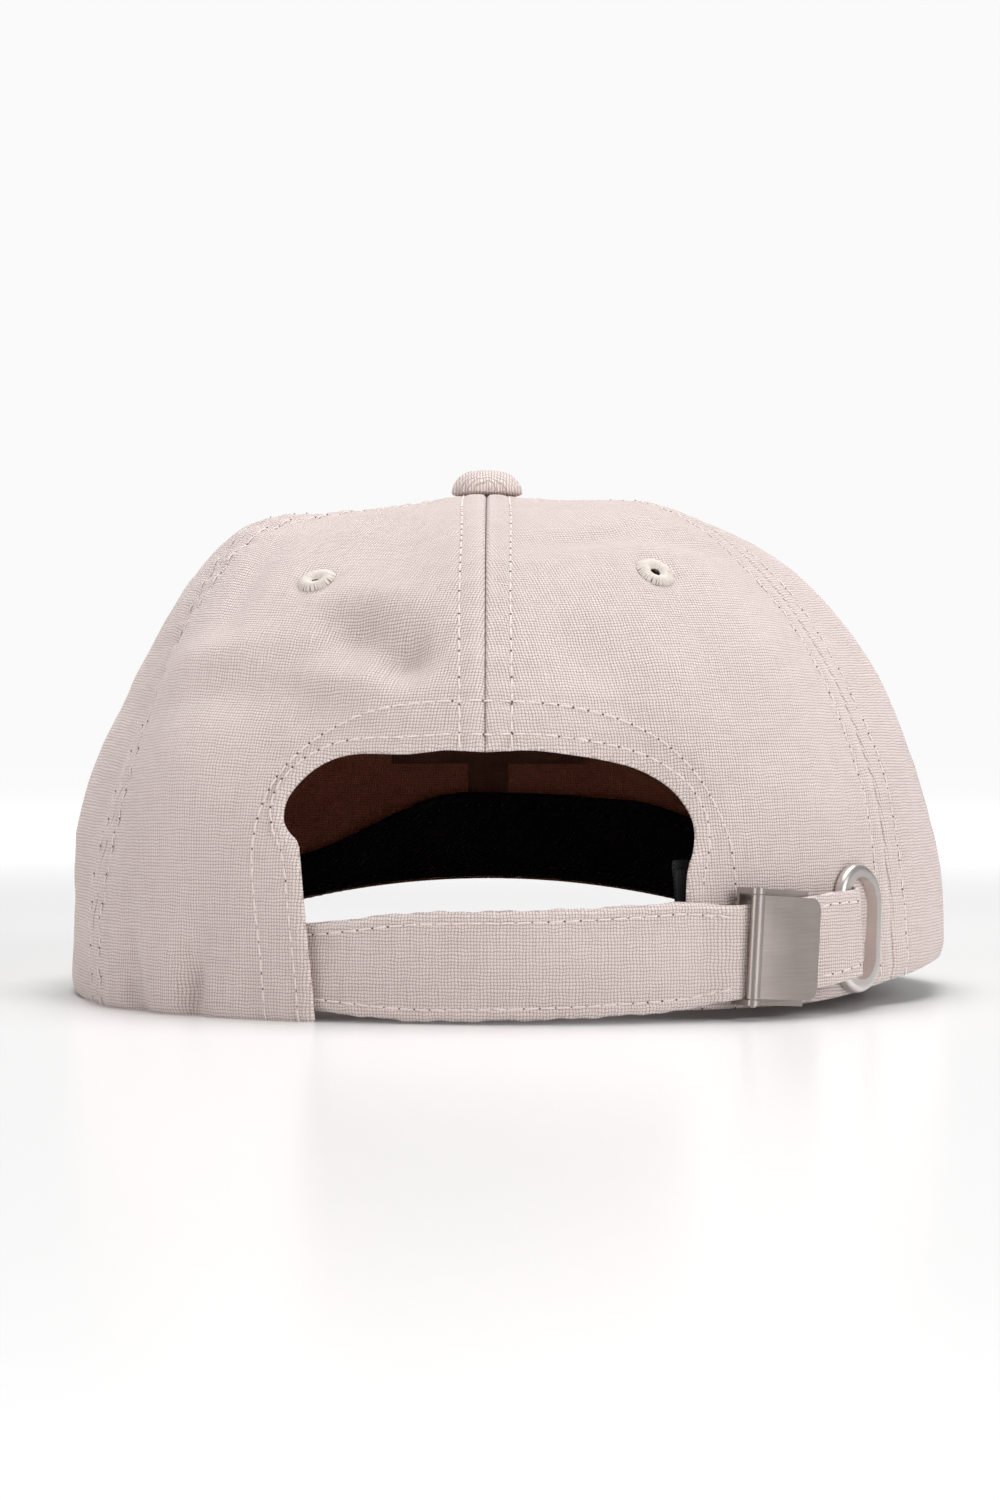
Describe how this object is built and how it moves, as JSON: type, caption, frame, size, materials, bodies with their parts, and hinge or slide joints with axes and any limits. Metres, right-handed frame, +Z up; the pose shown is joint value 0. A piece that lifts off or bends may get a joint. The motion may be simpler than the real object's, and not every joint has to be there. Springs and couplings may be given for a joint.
{
  "type": "baseball cap",
  "caption": "Soft unstructured baseball cap with a curved bill, rear opening, fabric strap, flip-top clamp buckle and tuck ring.",
  "frame": {"origin": "centre of the head opening, in the plane of the hem at the rear and sides", "axes": "+Z up through the button, +Y towards the bill, -Y out of the rear opening, +X towards the wearer's right"},
  "size_m": [0.186, 0.2655, 0.1107],
  "materials": {
    "canvas": "stone-coloured washed cotton canvas",
    "thread": "matte embroidery thread",
    "tape": "woven cotton tape",
    "board": "bare moulded sheet, sealed inside the bill",
    "pad": "non-woven pad",
    "twill": "black cotton twill",
    "steel": "plain pressed steel",
    "nickel": "satin dark nickel plate"
  },
  "bodies": {
    "cap": {"panel_rear_right": "canvas", "panel_side_right": "canvas", "panel_front_right": "canvas", "panel_front_left": "canvas", "panel_side_left": "canvas", "panel_rear_left": "canvas", "eyelet_rear_right": "thread", "eyelet_side_right": "thread", "eyelet_front_right": "thread", "eyelet_front_left": "thread", "eyelet_side_left": "thread", "eyelet_rear_left": "thread", "seam_tape_rear": "tape", "seam_tape_rear_right": "tape", "seam_tape_front_right": "tape", "seam_tape_front": "tape", "seam_tape_front_left": "tape", "seam_tape_rear_left": "tape", "front_backing": "tape", "opening_facing": "canvas", "button_cover": "canvas", "button_rivet": "steel", "button_back_plate": "steel", "bill_board": "board", "bill_top_cover": "canvas", "bill_under_cover": "canvas", "sweatband_pad": "pad", "sweatband_twill": "twill", "strap": "canvas", "buckle_tab": "canvas", "buckle_base": "nickel", "buckle_pin": "nickel", "tuck_ring": "nickel", "tuck_ring_washer": "nickel"},
    "buckle_cover": {"buckle_cover": "nickel"}
  },
  "joints": [
    {"name": "buckle_cover_hinge", "type": "hinge", "parent": "cap", "child": "buckle_cover", "pos_m": [0.05037, -0.0902, 0.01386], "axis": [-0.0564, -0.0411, -0.9976], "range_deg": [0, 110]}
  ]
}
